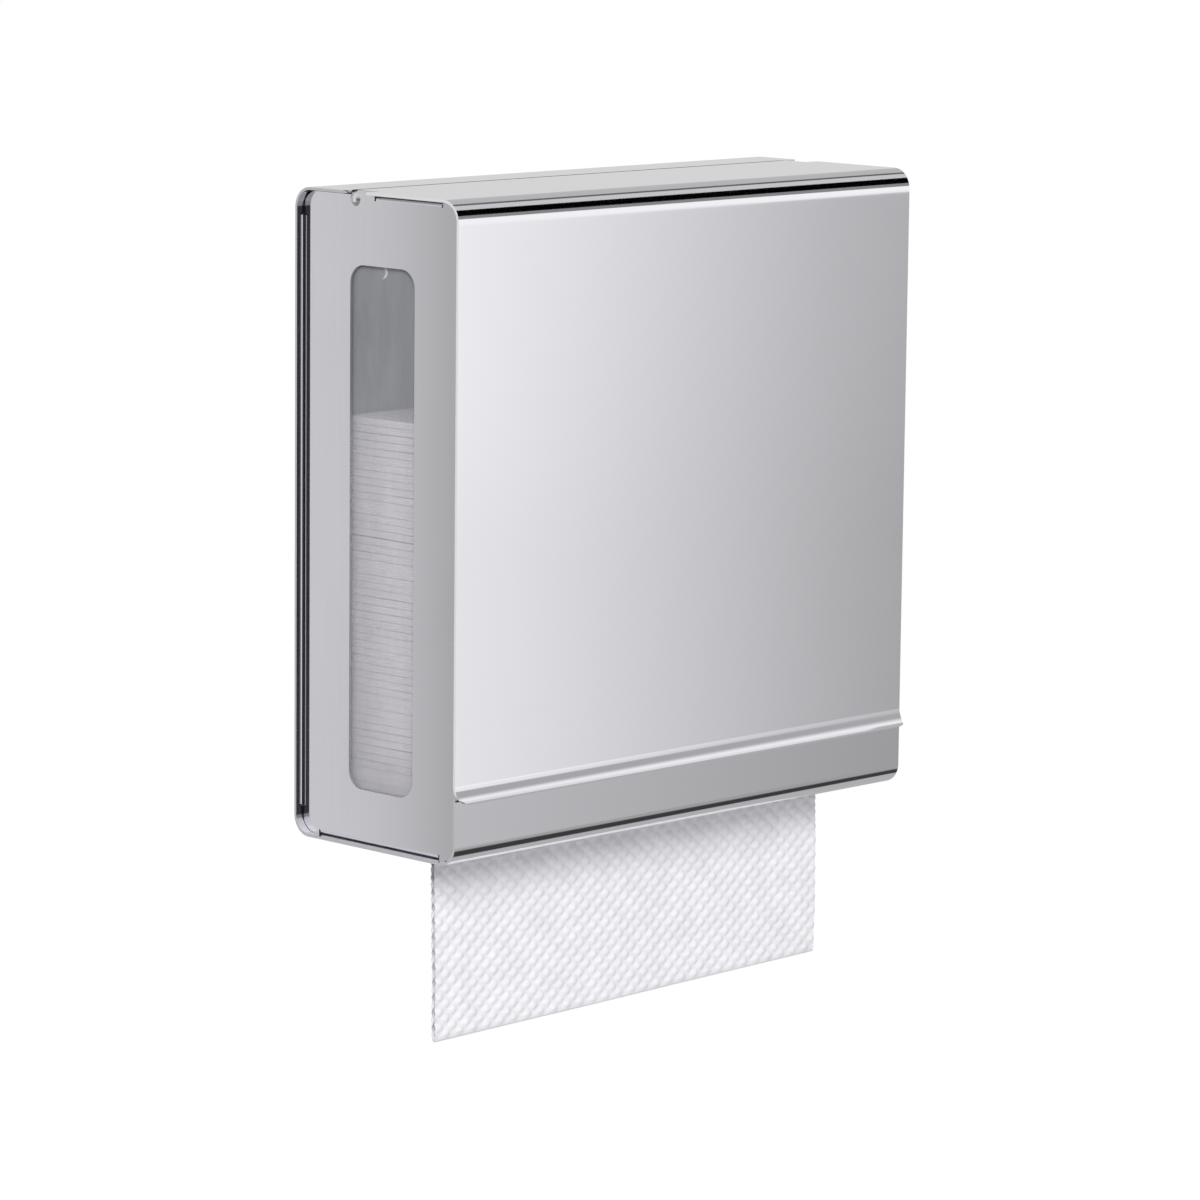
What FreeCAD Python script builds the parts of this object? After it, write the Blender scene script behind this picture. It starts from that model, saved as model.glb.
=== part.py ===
import FreeCAD, Part
import math
import os

# Wall-mounted dispenser for C-fold paper towels, bent from stainless sheet.
# Millimetres. +X is to the right seen from the front, +Y points into the wall, +Z is up.
# The origin is the centre of the screw pattern, on the back face that lies on the wall.

# Paper, which the case is sized round
towel_width = 240.0
fold_depth = 82.5  # a towel folded in the stack
stack_height = 182.0
layers = 28
layer_bulge = 1.1  # each layer's edge beyond where it touches the next
paper = 0.6
fold_r = 0.3  # inside radius of the fold at the hanging end
hanging_length = 84.0
towel_off_centre = 5.0  # hanging towel in front of the slot's middle

# Case
case_height = 280.0
stack_end_room = 12.0  # from each end of the stack to the pane
stack_foot_room = 0.85  # stack's foot to the curve of the case's bends
sheet = 1.2  # all the bent sheet
case_bend_r = 7.8  # inside radius of the four large bends

# Wall shell: top strip, back, bottom and apron in one sheet
strip_depth = 30.1  # the fixed rear strip of the top
apron_height = 28.9  # its face is flush with the door's
hem_length = 8.0  # folded-in top edge of the apron
hem_r = 0.3  # inside radius of the hem's fold
hem_end_gap = 0.5  # hem's ends to the side panels
screw_hole_r = 2.75
screw_spacing_x = 180.0
screw_spacing_z = 200.0

# Towel slot in the bottom, its rim flared down so that paper slides over it
slot_end_room = 3.5  # hanging towel's edge to the slot's end
slot_width = 32.0
slot_centre_y = -62.0
slot_corner_r = 9.0
flare_r = 1.0  # inside radius of the flare
flare_straight = 0.6  # below the flare's curve

# Side panels: pans set in from the edges of the shell and the door
side_overhang = 3.8  # shell and door beyond the side panel's outer face
panel_top_gap = 0.6  # panel to the underside of the top
panel_front_gap = 1.6  # panel to the inside of the door and the apron
panel_corner_gap = 0.5  # added to the panel's corner radius, so that corners clear the bends
flange_width = 9.0
flange_r = 0.8  # inside radius of the flanges' bends
flange_end = 3.0  # flange's end to the corner's curve
bend_relief = 0.8  # notch at each flange end

# Windows and their clear panes
window_width = 39.5
window_corner_r = 8.0
window_rear_margin = 30.4  # wall to the window
window_low_margin = 24.4  # case bottom to the window
window_top_margin = 31.2  # case top to the window
pane_thickness = 2.0
pane_lap = 5.0  # pane beyond the window's edge, all round
pane_corner_r = 5.0
tape_thickness = 1.0
tape_reveal = 1.2  # tape's inner edge back from the window's edge

# Door: top, front and finger lip in one sheet
door_seam = 1.6  # gap to the fixed strip
lip_rise = 5.8  # apron's top to where the lip's curve begins
lip_angle = 58.0
lip_r = 7.0  # on the front face
lip_end_flat = 1.2
lip_corner_r = 5.0

# Hinge at both rear corners of the door
axis_from_seam = 1.8  # pin's axis in front of the door's rear edge
axis_drop = 3.6  # pin's axis below the top face
ear_length = 11.0
ear_drop = 6.0  # ear's lower end below the axis
ear_bend_r = 0.6
ear_corner_r = 3.0
ear_swing_gap = 1.5  # turning ear to the panel's top flange
notch_front = 1.3  # notch in the overhang, beyond the ear
lug_top_gap = 0.4  # side panel's lug round the pin, below the top face
lug_end_gap = 1.0  # lug to the fixed strip, and to the notch's front end
lug_corner_r = 1.5
pin_r = 1.25
pin_clearance = 0.05  # ear's hole round the pin
pin_head_r = 3.0
pin_head_height = 1.8
pin_tail = 1.2  # beyond the clip
washer_r = 2.8
washer_thickness = 0.8
clip_r = 2.0
clip_thickness = 0.6
clip_gap = 0.1  # clip to the ear

# Bumpers behind the closed door
bumper_r = 3.5
bumper_gap = 0.1
bumper_bevel = 0.5
bumper_inset = 40.0  # from the ends of the front flange

# Derived sizes
bottom = -case_height / 2
top = case_height / 2
bend_out = case_bend_r + sheet
floor_depth = fold_depth - 2 * layer_bulge + 2 * stack_foot_room  # flat part of the bottom
apron_face_y = -(floor_depth + 2 * bend_out)
case_depth = -apron_face_y
panel_inside = towel_width / 2 + stack_end_room + pane_thickness + tape_thickness
panel_face = panel_inside + sheet  # outer face of a side panel, from the middle
half_width = panel_face + side_overhang
case_width = 2 * half_width
slot_length = towel_width + 2 * slot_end_room
towel_plane_y = slot_centre_y - towel_off_centre
door_inside_y = -(case_depth - sheet)
panel_front_y = door_inside_y + panel_front_gap
door_rear_y = -(strip_depth + door_seam)
lip_start_z = bottom + apron_height + lip_rise
ear_face = panel_inside - washer_thickness  # outer face of an ear
ear_bend_out = ear_bend_r + sheet
notch_end_y = door_rear_y - ear_length - notch_front
axis_y = door_rear_y - axis_from_seam
axis_z = top - axis_drop
flange_out = flange_r + sheet
panel_corner_r = case_bend_r + panel_corner_gap
flange_low_z = bottom + sheet + panel_corner_r + flange_end
flange_top_z = top - sheet - panel_corner_r - flange_end
front_flange_low_z = bottom + apron_height + flange_end

X = FreeCAD.Vector(1, 0, 0)
Y = FreeCAD.Vector(0, 1, 0)
Z = FreeCAD.Vector(0, 0, 1)


def flat(length):
    return ("flat", length, 0.0)


def bend(angle, inside_r):
    """A bend of that many degrees, positive towards the side that the sheet lies on."""
    return ("bend", angle, inside_r)


def turned(point, centre, angle):
    """The point turned about the centre in the drawing plane, by an angle in radians."""
    arm = point - centre
    cosine = math.cos(angle)
    sine = math.sin(angle)
    return centre + FreeCAD.Vector(arm.x * cosine - arm.y * sine, arm.x * sine + arm.y * cosine, 0)


def arc(start, centre, angle):
    return Part.Arc(start, turned(start, centre, angle / 2), turned(start, centre, angle)).toShape()


def bent_section(start, heading, steps, thickness):
    """The edge face of a bent sheet. The walk follows one face, and the sheet lies on its left."""
    here = FreeCAD.Vector(*start, 0)
    along = FreeCAD.Vector(*heading, 0)
    near_edges = []
    far_edges = []
    for kind, amount, inside_r in steps:
        left = FreeCAD.Vector(-along.y, along.x, 0)
        far = here + left * thickness
        if kind == "flat":
            ahead = here + along * amount
            near_edges.append(Part.makeLine(here, ahead))
            far_edges.append(Part.makeLine(far, far + along * amount))
            here = ahead
            continue
        angle = math.radians(amount)
        # the walked face is outside the bend when it turns left, and inside when it turns right
        arm = inside_r + thickness if angle > 0 else -inside_r
        centre = here + left * arm
        near_edges.append(arc(here, centre, angle))
        far_edges.append(arc(far, centre, angle))
        here = turned(here, centre, angle)
        along = turned(along, FreeCAD.Vector(), angle)
    left = FreeCAD.Vector(-along.y, along.x, 0)
    first = near_edges[0].Vertexes[0].Point
    first_far = far_edges[0].Vertexes[0].Point
    end_cap = Part.makeLine(here, here + left * thickness)
    start_cap = Part.makeLine(first_far, first)
    edges = near_edges + [end_cap] + far_edges[::-1] + [start_cap]
    return Part.Face(Part.Wire(Part.__sortEdges__(edges)))


def rounded_rectangle(width, height, radius):
    """A face centred on the drawing's origin."""
    outline = Part.makePlane(width, height, FreeCAD.Vector(-width / 2, -height / 2, 0))
    box = outline.extrude(Z)
    upright = [e for e in box.Edges if abs(e.Vertexes[0].Z - e.Vertexes[1].Z) > 0.5]
    soft = box.makeFillet(radius, upright)
    return [f for f in soft.Faces if abs(f.CenterOfMass.z) < 1e-6][0]


def standing(drawing, length, origin, across, up):
    """Extrudes a drawing and stands it at origin, with its X along across and its Y along up."""
    deep = across.cross(up)
    matrix = FreeCAD.Matrix(
        across.x, up.x, deep.x, origin.x,
        across.y, up.y, deep.y, origin.y,
        across.z, up.z, deep.z, origin.z,
        0, 0, 0, 1)
    solid = drawing.extrude(FreeCAD.Vector(0, 0, length))
    solid.Placement = FreeCAD.Placement(matrix)
    return solid


def box_between(low, high):
    size = [b - a for a, b in zip(low, high)]
    return Part.makeBox(*size, FreeCAD.Vector(*low))


def mirrored(shape):
    """The same piece for the right-hand side."""
    return shape.mirror(FreeCAD.Vector(), X)


def edges_along_x(shape, height):
    """Edges that run along X at that height."""
    found = []
    for edge in shape.Edges:
        box = edge.BoundBox
        if abs(box.ZMin - height) < 1e-4 and abs(box.ZMax - height) < 1e-4 and box.YLength < 1e-4:
            found.append(edge)
    return found


def edges_near(shape, height, low, high):
    """Edges that lie at that height and inside the rectangle from low to high."""
    found = []
    for edge in shape.Edges:
        box = edge.BoundBox
        level = abs(box.ZMin - height) < 1e-4 and abs(box.ZMax - height) < 1e-4
        inside = box.XMin > low[0] and box.XMax < high[0] and box.YMin > low[1] and box.YMax < high[1]
        if level and inside:
            found.append(edge)
    return found


def shell_section(hemmed):
    """The shell's edge, from the top of the apron down, round the bottom and the back, to the strip."""
    hem_out = hem_r + sheet
    apron_flat = apron_height - bend_out
    round_the_back = [
        bend(90, case_bend_r),
        flat(-apron_face_y - 2 * bend_out),
        bend(90, case_bend_r),
        flat(case_height - 2 * bend_out),
        bend(90, case_bend_r),
        flat(strip_depth - bend_out),
    ]
    if not hemmed:
        start = (apron_face_y, bottom + apron_height)
        return bent_section(start, (0, -1), [flat(apron_flat)] + round_the_back, sheet)
    start = (apron_face_y + 2 * hem_out, bottom + apron_height - hem_out - hem_length)
    hem = [flat(hem_length), bend(180, hem_r), flat(apron_flat - hem_out)]
    return bent_section(start, (0, 1), hem + round_the_back, sheet)


def wall_shell():
    hem_half = panel_inside - hem_end_gap
    end_length = half_width - hem_half
    middle = standing(shell_section(True), 2 * hem_half, FreeCAD.Vector(-hem_half, 0, 0), Y, Z)
    plain = shell_section(False)
    left_end = standing(plain, end_length, FreeCAD.Vector(-half_width, 0, 0), Y, Z)
    right_end = standing(plain, end_length, FreeCAD.Vector(hem_half, 0, 0), Y, Z)
    shell = middle.fuse([left_end, right_end]).removeSplitter()
    shell = with_towel_slot(shell)
    for x in (-screw_spacing_x / 2, screw_spacing_x / 2):
        for z in (-screw_spacing_z / 2, screw_spacing_z / 2):
            start = FreeCAD.Vector(x, -2 * sheet, z)
            shell = shell.cut(Part.makeCylinder(screw_hole_r, 3 * sheet, start, Y))
    return shell


def with_towel_slot(shell):
    """Cuts the slot and draws its rim down in a flare of even thickness."""
    flare_out = flare_r + sheet
    depth = flare_r + flare_straight  # the rim below the case
    rim_low = FreeCAD.Vector(0, slot_centre_y, bottom - depth)
    collar_face = rounded_rectangle(slot_length + 2 * sheet, slot_width + 2 * sheet, slot_corner_r + sheet)
    collar = standing(collar_face, depth + sheet, rim_low, X, Y)
    hole_face = rounded_rectangle(slot_length, slot_width, slot_corner_r)
    hole = standing(hole_face, depth + 2 * sheet, rim_low, X, Y)
    shell = shell.fuse(collar).cut(hole).removeSplitter()
    reach_x = slot_length / 2 + 2 * sheet
    reach_y = slot_width / 2 + 2 * sheet
    low = (-reach_x, slot_centre_y - reach_y)
    high = (reach_x, slot_centre_y + reach_y)
    shell = shell.makeFillet(flare_out, edges_near(shell, bottom + sheet, low, high))
    return shell.makeFillet(flare_r, edges_near(shell, bottom, low, high))


def panel_outline():
    """The side panel's plate before its flanges, drawn with Y across and Z up."""
    low_z = bottom + sheet
    high_z = top - sheet - panel_top_gap
    outline = rounded_rectangle(-sheet - panel_front_y, high_z - low_z, panel_corner_r)
    outline.translate(FreeCAD.Vector((panel_front_y - sheet) / 2, (low_z + high_z) / 2, 0))
    return outline


def panel_flange(corner, outward, length):
    """A flange bent inwards along one edge of the left panel, from corner on."""
    section = bent_section((-flange_out, 0), (1, 0), [bend(90, flange_r), flat(flange_width - flange_out)], sheet)
    return standing(section, length, corner, outward, X)


def edge_strip(corner, outward, length):
    """What the plate loses where a flange's bend takes over, with a relief at both ends."""
    strip = Part.makePlane(2 * flange_out, 2 * sheet, FreeCAD.Vector(-flange_out, -sheet / 2, 0))
    along = outward.cross(X)
    return standing(strip, length + 2 * bend_relief, corner - along * bend_relief, outward, X)


def side_panel_left():
    face_x = -panel_face
    panel = standing(panel_outline(), sheet, FreeCAD.Vector(face_x, 0, 0), Y, Z)
    bottom_rear = -(sheet + panel_corner_r + flange_end)
    bottom_front = panel_front_y + panel_corner_r + flange_end
    top_rear = axis_y - math.hypot(ear_length - axis_from_seam, ear_drop) - ear_swing_gap
    # each flange: where it starts, which way its edge faces, and how long it is
    flanges = [
        (FreeCAD.Vector(face_x, -sheet, flange_top_z), Y, flange_top_z - flange_low_z),
        (FreeCAD.Vector(face_x, panel_front_y, front_flange_low_z), -Y, flange_top_z - front_flange_low_z),
        (FreeCAD.Vector(face_x, bottom_rear, bottom + sheet), -Z, bottom_rear - bottom_front),
        (FreeCAD.Vector(face_x, bottom_front, top - sheet - panel_top_gap), Z, top_rear - bottom_front),
    ]
    for corner, outward, length in flanges:
        panel = panel.cut(edge_strip(corner, outward, length))
    for corner, outward, length in flanges:
        panel = panel.fuse(panel_flange(corner, outward, length))
    panel = panel.cut(window_opening(0, window_corner_r, face_x - sheet, 3 * sheet))
    panel = panel.fuse(panel_lug())
    hinge_hole = Part.makeCylinder(pin_r, 3 * sheet, FreeCAD.Vector(face_x - sheet, axis_y, axis_z), X)
    return panel.cut(hinge_hole).removeSplitter()


def panel_lug():
    """Raised part of the panel's top edge round the pin, in the notch of the overhang."""
    rear_y = -(strip_depth + lug_end_gap)
    front_y = notch_end_y + lug_end_gap
    low_z = axis_z - pin_head_r
    high_z = top - lug_top_gap
    lug = box_between((-panel_face, front_y, low_z), (-panel_inside, rear_y, high_z))
    return lug.makeFillet(lug_corner_r, edges_along_x(lug, high_z))


def window_opening(grow, radius, start_x, length):
    """A solid through the window, larger than it by grow on every side."""
    centre_y = -(window_rear_margin + window_width / 2)
    centre_z = (window_low_margin - window_top_margin) / 2
    height = case_height - window_low_margin - window_top_margin
    face = rounded_rectangle(window_width + 2 * grow, height + 2 * grow, radius)
    return standing(face, length, FreeCAD.Vector(start_x, centre_y, centre_z), Y, Z)


def pane_tape_left():
    """Frame of double-sided foam tape between the side panel and the pane."""
    start_x = -panel_inside
    frame = window_opening(pane_lap, pane_corner_r, start_x, tape_thickness)
    return frame.cut(window_opening(tape_reveal, window_corner_r + tape_reveal, start_x, tape_thickness))


def window_pane_left():
    start_x = -panel_inside + tape_thickness
    return window_opening(pane_lap, pane_corner_r, start_x, pane_thickness)


def door_section():
    front_flat = top - bend_out - lip_start_z
    steps = [
        flat(case_depth + door_rear_y - bend_out),
        bend(90, case_bend_r),
        flat(front_flat),
        bend(-lip_angle, lip_r),
        flat(lip_end_flat),
    ]
    return bent_section((door_rear_y, top), (-1, 0), steps, sheet)


def hinge_ear():
    """The tab bent down from the left rear corner of the door, inside the side panel."""
    down = ear_drop + axis_drop - ear_bend_out
    section = bent_section((-ear_bend_out, 0), (1, 0), [bend(90, ear_bend_r), flat(down)], sheet)
    ear = standing(section, ear_length, FreeCAD.Vector(-ear_face, door_rear_y, top), -X, -Z)
    return ear.makeFillet(ear_corner_r, edges_along_x(ear, axis_z - ear_drop))


def door():
    panel = standing(door_section(), case_width, FreeCAD.Vector(-half_width, 0, 0), Y, Z)
    # the overhang is cut away round each pin, back to the ear's bend
    ear_root = ear_face - ear_bend_out
    notch = box_between((-half_width - sheet, notch_end_y, top - 2 * sheet), (-ear_root, 0, top + sheet))
    ear = hinge_ear()
    hole_start = FreeCAD.Vector(-panel_face, axis_y, axis_z)
    hole = Part.makeCylinder(pin_r + pin_clearance, 2 * side_overhang, hole_start, X)
    lip_corner = lip_corner_cut()
    for side in (lambda shape: shape, mirrored):
        panel = panel.cut(side(notch)).fuse(side(ear)).cut(side(hole)).cut(side(lip_corner))
    return panel.removeSplitter()


def lip_corner_cut():
    """Takes the lip's left corner off to a round, seen from the front."""
    low_z = lip_start_z - lip_drop()
    ahead_y = -case_depth - 2 * lip_r
    rear_y = door_inside_y + sheet
    block = box_between((-half_width - 1, ahead_y, low_z - 1),
                        (-half_width + lip_corner_r, rear_y, low_z + lip_corner_r))
    centre = FreeCAD.Vector(-half_width + lip_corner_r, ahead_y - 1, low_z + lip_corner_r)
    keep = Part.makeCylinder(lip_corner_r, rear_y - ahead_y + 2, centre, Y)
    return block.cut(keep)


def lip_drop():
    """How far the lip's lowest edge lies below the start of its curve."""
    angle = math.radians(lip_angle)
    return (lip_r + sheet) * math.sin(angle) + lip_end_flat * math.cos(angle)


def hinge_pin_left():
    """Pin peened into the side panel, with a domed head outside."""
    # a spherical cap: its sphere's radius from the head's radius and height
    sphere_r = (pin_head_r ** 2 + pin_head_height ** 2) / (2 * pin_head_height)
    centre = FreeCAD.Vector(-panel_face + sphere_r - pin_head_height, axis_y, axis_z)
    outside = box_between((-panel_face - 2 * pin_head_height, axis_y - 2 * pin_head_r, axis_z - 2 * pin_head_r),
                          (-panel_face, axis_y + 2 * pin_head_r, axis_z + 2 * pin_head_r))
    head = Part.makeSphere(sphere_r, centre).common(outside)
    length = panel_face - clip_face() + clip_thickness + pin_tail
    shank = Part.makeCylinder(pin_r, length, FreeCAD.Vector(-panel_face, axis_y, axis_z), X)
    return head.fuse(shank).removeSplitter()


def clip_face():
    """Outer face of the clip, just inside the ear."""
    return ear_face - sheet - clip_gap


def ring(outer_r, inner_r, thickness, start_x):
    start = FreeCAD.Vector(start_x, axis_y, axis_z)
    disc = Part.makeCylinder(outer_r, thickness, start, X)
    return disc.cut(Part.makeCylinder(inner_r, thickness, start, X))


def hinge_washer_left():
    return ring(washer_r, pin_r, washer_thickness, -panel_inside)


def pin_clip_left():
    """Push-on retaining clip, bevelled on the side away from the ear."""
    clip = ring(clip_r, pin_r, clip_thickness, -clip_face())
    inner_face_x = -clip_face() + clip_thickness
    inner_edges = [e for e in clip.Edges if abs(e.CenterOfMass.x - inner_face_x) < 1e-4]
    rim = max(inner_edges, key=lambda edge: edge.Length)
    return clip.makeChamfer(clip_thickness / 2, [rim])


def door_bumper_left(height):
    """Soft dot on the front flange, just behind the closed door."""
    thickness = panel_front_y - door_inside_y - bumper_gap
    centre_x = -panel_face + (flange_out + flange_width) / 2
    start = FreeCAD.Vector(centre_x, panel_front_y, height)
    dot = Part.makeCylinder(bumper_r, thickness, start, -Y)
    face_y = panel_front_y - thickness
    rim = [e for e in dot.Edges if abs(e.CenterOfMass.y - face_y) < 1e-4]
    return dot.makeChamfer(bumper_bevel, rim)


def pleated_section(width):
    """The stack's edge seen from one side: each layer bulges a little at both ends."""
    pitch = stack_height / layers
    low_z = bottom + sheet
    edges = []
    for i in range(layers):
        low = low_z + i * pitch
        for end in (-width / 2, width / 2):
            out = math.copysign(layer_bulge, end)
            foot = FreeCAD.Vector(end - out, low, 0)
            middle = FreeCAD.Vector(end, low + pitch / 2, 0)
            head = FreeCAD.Vector(end - out, low + pitch, 0)
            edges.append(Part.Arc(foot, middle, head).toShape())
    inner = width / 2 - layer_bulge
    for level in (low_z, low_z + stack_height):
        edges.append(Part.makeLine(FreeCAD.Vector(-inner, level, 0), FreeCAD.Vector(inner, level, 0)))
    return Part.Face(Part.Wire(Part.__sortEdges__(edges)))


def towel_stack():
    centre_y = apron_face_y / 2
    rear = FreeCAD.Vector(0, centre_y + fold_depth / 2, 0)
    left = FreeCAD.Vector(-towel_width / 2, centre_y, 0)
    ends = standing(pleated_section(towel_width), fold_depth, rear, X, Z)
    folds = standing(pleated_section(fold_depth), towel_width, left, Y, Z)
    return ends.common(folds)


def leading_towel():
    """The hanging half of the lowest towel: two plies that meet in the fold at its lower end."""
    reach = paper + fold_r
    straight = hanging_length + sheet - reach
    start = (towel_plane_y - reach, bottom + sheet)
    section = bent_section(start, (0, -1), [flat(straight), bend(180, fold_r), flat(straight)], paper)
    return standing(section, towel_width, FreeCAD.Vector(-towel_width / 2, 0, 0), Y, Z)


def all_nodes():
    left_pieces = {
        "side_panel": side_panel_left(),
        "pane_tape": pane_tape_left(),
        "window_pane": window_pane_left(),
        "hinge_pin": hinge_pin_left(),
        "hinge_washer": hinge_washer_left(),
        "pin_clip": pin_clip_left(),
        "door_bumper_lower": door_bumper_left(front_flange_low_z + bumper_inset),
        "door_bumper_upper": door_bumper_left(flange_top_z - bumper_inset),
    }
    nodes = {"wall_shell": wall_shell(), "door": door()}
    for name, piece in left_pieces.items():
        nodes[name + "_left"] = piece
        nodes[name + "_right"] = mirrored(piece)
    nodes["towel_stack"] = towel_stack()
    nodes["leading_towel"] = leading_towel()
    return nodes


os.makedirs("parts", exist_ok=True)
for node, shape in all_nodes().items():
    shape.exportStep(f"parts/{node}.step")
    print(node, len(shape.Solids), "solid", round(shape.Volume, 1), "mm3", "valid" if shape.isValid() else "INVALID")
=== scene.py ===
import bpy
import math
import random
import numpy as np
from mathutils import Matrix, Vector, noise


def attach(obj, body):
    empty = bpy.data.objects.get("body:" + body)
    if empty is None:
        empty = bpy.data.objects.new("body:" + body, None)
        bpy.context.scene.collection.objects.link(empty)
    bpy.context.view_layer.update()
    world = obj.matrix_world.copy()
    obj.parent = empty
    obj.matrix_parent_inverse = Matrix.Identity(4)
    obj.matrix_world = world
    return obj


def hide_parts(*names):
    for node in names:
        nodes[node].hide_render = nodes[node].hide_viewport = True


# Wall-mounted dispenser for C-fold paper towels, in bright polished stainless sheet.
# Metres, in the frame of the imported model: +X to the right, +Y into the wall, +Z up.

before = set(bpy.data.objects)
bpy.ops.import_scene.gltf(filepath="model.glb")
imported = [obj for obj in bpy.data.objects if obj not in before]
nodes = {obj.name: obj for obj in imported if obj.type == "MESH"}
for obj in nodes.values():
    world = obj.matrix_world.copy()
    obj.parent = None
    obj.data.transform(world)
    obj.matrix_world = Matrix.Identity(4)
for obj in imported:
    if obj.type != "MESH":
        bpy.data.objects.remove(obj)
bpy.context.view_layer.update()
millimetre = 0.001


def deselectAll():
    bpy.ops.object.select_all(action="DESELECT")


# sRGB hex to the linear colour that shaders take
def linear(hexColour):
    channels = [int(hexColour[i:i + 2], 16) / 255 for i in (1, 3, 5)]
    return [c / 12.92 if c <= 0.04045 else ((c + 0.055) / 1.055) ** 2.4 for c in channels] + [1.0]


# an input is given a plain value, or the output socket that feeds it
def addNode(tree, kind, settings=None, inputs=None):
    made = tree.nodes.new(kind)
    for name, value in (settings or {}).items():
        setattr(made, name, value)
    for name, value in (inputs or {}).items():
        if isinstance(value, bpy.types.NodeSocket):
            tree.links.new(value, made.inputs[name])
        else:
            made.inputs[name].default_value = value
    return made


def newMaterial(name):
    material = bpy.data.materials.new(name)
    material.use_nodes = True
    tree = material.node_tree
    tree.nodes.clear()
    return material, tree, tree.nodes.new("ShaderNodeOutputMaterial")


# Camera, where the photograph was taken from
cameraPlace = {
    "position": (-1.6708, -1.6907, 0.3240),
    "right": (0.70265391, -0.71145543, 0.0104236),
    "up": (0.10400229, 0.11718581, 0.98764923),
    "lens": 161.21,
    "sensor": 36.0,
}


def makeCamera():
    bpy.ops.object.camera_add()
    camera = bpy.context.object
    camera.name = "camera"
    right = Vector(cameraPlace["right"])
    up = Vector(cameraPlace["up"])
    turn = Matrix((right, up, right.cross(up))).transposed()
    camera.matrix_world = Matrix.Translation(cameraPlace["position"]) @ turn.to_4x4()
    camera.data.lens = cameraPlace["lens"]
    camera.data.sensor_width = cameraPlace["sensor"]
    bpy.context.scene.camera = camera


# Studio: what the steel mirrors. Angles in degrees: azimuth 0 is straight in front, 90 to the right
# and -90 to the left, and elevation is above the horizon. Each card is laid over those before it.
# "soft" is the width of its edges across and upward, "strength" its share over what lies behind, and
# "fade" two azimuths between which its level passes to a second one.
studio = {
    "white": 1.0,  # the background as the camera sees it
    "ambient": 0.42,
    "floorLevel": 0.36,  # mirrored brightness from this elevation down, and from the next one up
    "floorElevation": -55,
    "ceilingLevel": 0.88,
    "ceilingElevation": 65,
    "cards": [
        {"name": "rear wall", "azimuth": (95, 180), "elevation": (15, 60), "soft": (5, 8),
         "level": 0.54},
        {"name": "rear low wall", "azimuth": (118, 180), "elevation": (-2, 15), "soft": (8, 5),
         "level": 0.70},
        {"name": "left wall", "azimuth": (-180, -132), "elevation": (-30, 12), "soft": (8, 8),
         "level": 0.70, "fade": (-136.9, -135.9, 0.35)},
        {"name": "left softbox", "azimuth": (-130, -78), "elevation": (-40, 60), "soft": (3, 8),
         "level": 0.95},
        {"name": "right window", "azimuth": (58, 96), "elevation": (8, 72), "soft": (4, 5),
         "level": 0.46, "fade": (56, 84, 1.0)},
        {"name": "grey wall", "azimuth": (16, 62), "elevation": (13, 60), "soft": (8, 4),
         "level": 0.46},
        {"name": "front softbox", "azimuth": (-15, 60), "elevation": (-70, 13), "soft": (12, 4),
         "level": 1.0, "fade": (42.3, 50.8, 0.42)},
        {"name": "softbox's bright band", "azimuth": (-15, 60), "elevation": (-7.6, -2),
         "soft": (12, 2.2), "strength": 0.16, "level": 1.5, "fade": (43.6, 47.5, 0.72)},
        {"name": "softbox's dim middle", "azimuth": (45.4, 60), "elevation": (-90, -6.2),
         "soft": (1.8, 3), "strength": 0.05, "level": 0.0},
        {"name": "softbox's dim end", "azimuth": (47.7, 60), "elevation": (-90, 0), "soft": (1.4, 4),
         "strength": 0.08, "level": 0.0},
        {"name": "floor in front", "azimuth": (0, 62), "elevation": (-60, -13.2), "soft": (8, 1.6),
         "level": 0.56, "fade": (43.8, 49.2, 0.40)},
        {"name": "low flag", "azimuth": (15, 73), "elevation": (-60, -28), "soft": (3, 5),
         "level": 0.05},
        {"name": "low rear wall", "azimuth": (128, 180), "elevation": (-40, -7), "soft": (3, 3),
         "level": 0.42},
        {"name": "low light", "azimuth": (73, 130), "elevation": (-60, -21.5), "soft": (2, 5),
         "level": 0.5},
        {"name": "dim room", "azimuth": (-75, -12), "elevation": (-30, 12), "soft": (10, 8),
         "level": 0.30},
        {"name": "camera side flag", "azimuth": (-51, -38), "elevation": (-13.5, -1.5), "soft": (2, 2),
         "level": 0.035},
    ],
    "lamps": [
        {"name": "key light", "place": (-2.2, -2.3, 1.5), "size": 1.2, "watts": 84},
        {"name": "fill light", "place": (1.8, -2.6, 0.9), "size": 2.0, "watts": 10},
    ],
    "floorDrop": 1.35,
    "floorSize": 14.0,
    "floorColour": "#e8e8e8",
    "floorGlow": 0.65,  # brings the lit floor up to the background's white
}

# Narrow strips close to the door's top bend, seen only in its reflection. Each runs between two places
# on the bend, given as the angle of the surface there from straight in front, up to 90 on the top.
# A negative angle is a distance in millimetres down the flat front.
strips = {
    "bendY": -0.091,
    "bendZ": 0.131,
    "bendRadius": 0.009,
    "viewAngle": 6.8,  # of the line of sight, in a section through the door
    "distance": 0.030,
    "length": 0.40,
    "reach": 0.075,  # the longest ray that meets a strip; the rest of the case looks past them
    "bands": [
        {"name": "white strip", "between": (-1.3, 9.0), "level": 1.07},
        {"name": "grey strip", "between": (9.0, 17.5), "level": 0.28},
        {"name": "black strip", "between": (17.5, 34.0), "level": 0.0},
        {"name": "pale strip", "between": (34.0, 48.0), "level": 0.66},
        {"name": "dark strip", "between": (48.0, 54.0), "level": 0.13},
    ],
}

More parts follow.
